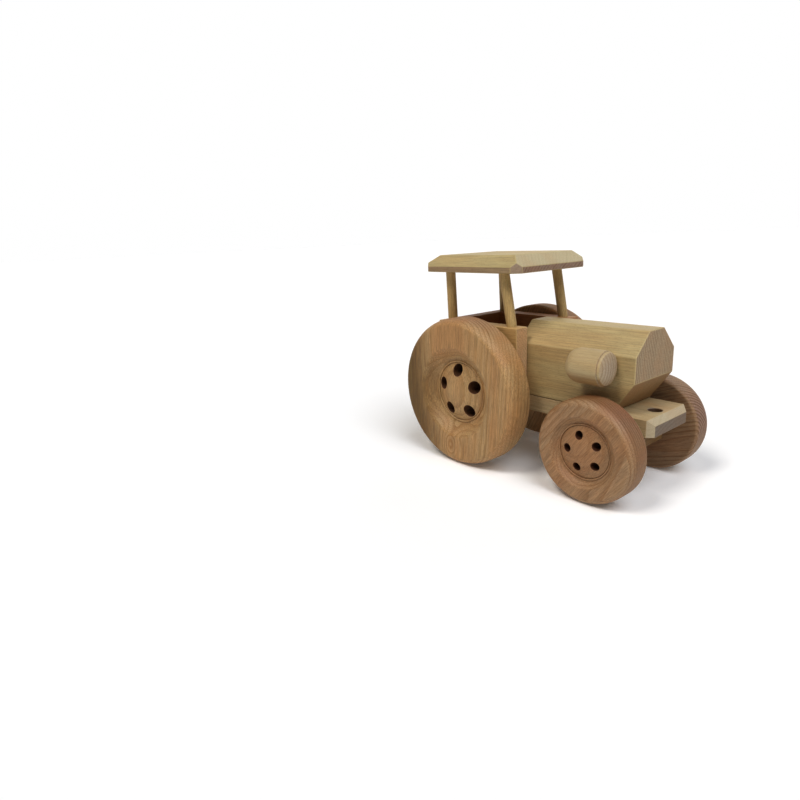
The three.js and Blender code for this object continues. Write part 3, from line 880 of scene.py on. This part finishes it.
def wheel(end, side, turning, material):
    node = f"{end}_wheel_{side}"
    low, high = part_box(node)
    sign = SIDES[side]
    centre = (low + high) / 2
    inner = min(abs(low.y), abs(high.y))
    width = high.y - low.y
    radius = (high.z - low.z) / 2
    bore = rod_axis(f"{end}_axle")[2] + DOWEL_CLEARANCE

    def place(u, v, height):
        return (centre.x + u, sign * (inner + height), centre.z + v)

    profile = wheel_profile(turning, radius, width, bore)
    piece = turned(f"turned_wheel_{end}_{side}", profile, place, turning["segments"])
    phase = math.radians(turning["hole_phase"])
    angles = [sign * (phase + 2 * math.pi * hole / HOLES) for hole in range(HOLES)]
    cut(piece, [lug_drill(turning, width, place, angle) for angle in angles])
    centres = [place(*hole_centre(turning, angle), 0) for angle in angles]
    mark_bores(piece, centres, turning["hole_radius"], (0, 2))
    join_frame(piece, f"{end}_wheel_set", [node], material)


def washer(end, side, material):
    node = f"{end}_washer_{side}"
    low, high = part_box(node)
    centre = (low + high) / 2
    outer = (high.z - low.z) / 2
    bore = rod_axis(f"{end}_axle")[2] + 0.3 * MM
    thickness = high.y - low.y
    edge = 0.2 * MM
    profile = [
        (bore, edge), (bore + edge, 0), (outer - edge, 0), (outer, edge),
        (outer, thickness - edge), (outer - edge, thickness),
        (bore + edge, thickness), (bore, thickness - edge),
    ]

    def place(u, v, height):
        return (centre.x + u, low.y + height, centre.z + v)

    piece = turned(f"spacer_{end}_{side}", profile, place, 64)
    join_frame(piece, f"{end}_wheel_set", [node], material)


# ---- The tractor -------------------------------------------------------------------------------

HOOD = srgb(173, 153, 109)
CHASSIS = srgb(174, 155, 118)
# Darker than the other beech: painted shade for the beam that sits in shade under the chassis.
SHADED_AXLE_BEAM = srgb(128, 102, 64)
ROOF = srgb(172, 155, 110)
WALL = srgb(178, 150, 100)
# A redder beech for the cab's left and rear walls and its floor: partly the wood's colour, partly painted
# shade for the cab's shaded inside.
REDDER_WALL_AND_SHADE = srgb(172, 126, 78)
POST = srgb(177, 152, 102)
LAMP = srgb(175, 157, 118)
REAR_WHEEL = srgb(169, 138, 94)
FRONT_WHEEL = srgb(154, 124, 90)
# Darker than the other front wheel: painted shade for the wheel on the far, shaded side.
SHADED_FAR_WHEEL = srgb(142, 114, 84)


def make_body():
    chassis_board(beech(
        "beech_chassis", (1, 0, 0.01), (0, 0.02, -0.05), CHASSIS, ring=3.0, contrast=0.3, slant=0.28,
        end_tone=0.43, end_rings=0.2,
    ))
    hood_block(beech(
        "beech_hood", (1, 0.01, 0), (0, 0.19, 0.08), HOOD, ring=2.3, contrast=0.22, wobble=2.0,
        end_tone=0.88, end_rings=1.0,
    ))
    front_axle_block(beech("beech_axle_beam", (0, 1, 0), (0.05, 0, 0.09), SHADED_AXLE_BEAM, contrast=0.4))
    walls = {"ring": 2.2, "end_rings": 0}
    cab({
        "wall_left": beech("beech_wall_left", (1, 0, 0), (0, 0.1, 0.02), REDDER_WALL_AND_SHADE, end_tone=1.1, **walls),
        "wall_right": beech("beech_wall_right", (1, 0, 0.02), (0, -0.12, 0.02), WALL, end_tone=1.25, **walls),
        "wall_rear": beech("beech_wall_rear", (0, 1, 0), (-0.15, 0, 0.02), REDDER_WALL_AND_SHADE, ring=2.2),
        "cab_floor": beech("beech_cab_floor", (1, 0, 0), (0, 0.01, 0.0), REDDER_WALL_AND_SHADE),
    })
    roof_board(beech(
        "beech_roof", (1, 0.02, 0), (0, 0.12, 0.02), ROOF, ring=2.8, contrast=0.3, slant=0.25, end_tone=1.0,
        edge=1.0,
    ))


def lamp_wood(side):
    """A lamp's wood, cut so that its pith lies just outside the lamp."""
    low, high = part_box(f"headlamp_{side}")
    pith_y = high.y + LAMP_PITH if side == "left" else low.y - LAMP_PITH
    return beech(
        f"beech_lamp_{side}", (1, 0, 0.03), (0, pith_y, (low.z + high.z) / 2), LAMP, ring=2.9, contrast=0.25,
        end_tone=0.92, streak=0.1, fleck=0.25, end_rings=0.45,
    )


def make_fittings():
    """The roof's posts, the lamps and the hidden dowels."""
    posts = beech("beech_post", (0.04, 0, 1), (0.1, 0.07, 0), POST, ring=1.8, contrast=0.4)
    for side in SIDES:
        for end in ("front", "rear"):
            dowel(f"post_{end}_{side}", f"roof_post_{end}_{side}", "tractor_body", posts)
        headlamp(side, lamp_wood(side))
    pegs = beech("beech_peg", (0, 0, 1), (0.05, 0.05, 0), CHASSIS)
    for node in sorted(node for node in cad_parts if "dowel" in node):
        dowel(f"peg_{node}", node, "tractor_body", pegs)


# How each wheel's blank was cut from the tree; every other value of its wood is in WHEEL_WOOD.
BLANKS = {
    ("rear", "right"): {
        "fibre": (0.05, 0.035, 1), "pith": (-0.046, -0.125, 0), "base": REAR_WHEEL, "ring": 2.9,
        "streak": 0.32,
        "burl": ((-0.041, -0.064, 0.016), (0.009, 0.02, 0.014), 13.0),
        "darker_side": ((-0.050, 0, 0.06), (-0.034, 0, -0.006)),
    },
    ("rear", "left"): {"fibre": (0.5, 0.04, 1), "pith": (0, 0.015, 0), "base": REAR_WHEEL, "ring": 2.6},
    ("front", "right"): {
        "fibre": (0.75, 0.06, 1), "pith": (0.06, 0.01, 0), "base": FRONT_WHEEL, "ring": 2.2, "rim": 1.0,
    },
    ("front", "left"): {
        "fibre": (1, 0.05, 0.35), "pith": (0, 0.02, -0.01), "base": SHADED_FAR_WHEEL, "ring": 2.4, "end_rings": 1.0,
    },
}
WHEEL_WOOD = {
    "contrast": 0.95, "wobble": 4.0, "fleck": 0.6, "flush": 0.75, "end_tone": 0.92, "streak": 0.26,
}


def make_wheel_sets():
    axle_wood = beech("beech_axle", (0, 1, 0), (0, 0, -0.02), CHASSIS, ring=1.8)
    spacer_wood = beech("beech_spacer", (1, 0, 0), (0, 0, -0.1), CHASSIS, ring=2.0)
    turnings = {"rear": REAR_TURNING, "front": FRONT_TURNING}
    for (end, side), blank in BLANKS.items():
        low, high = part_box(f"{end}_wheel_{side}")
        centre = tuple((low + high) / 2)
        wood = beech(f"beech_wheel_{end}_{side}", turned_about=centre, **{**WHEEL_WOOD, **blank})
        wheel(end, side, turnings[end], wood)
        washer(end, side, spacer_wood)
    for end in turnings:
        dowel(f"{end}_shaft", f"{end}_axle", f"{end}_wheel_set", axle_wood)


make_camera()
make_studio()
make_body()
make_fittings()
make_wheel_sets()
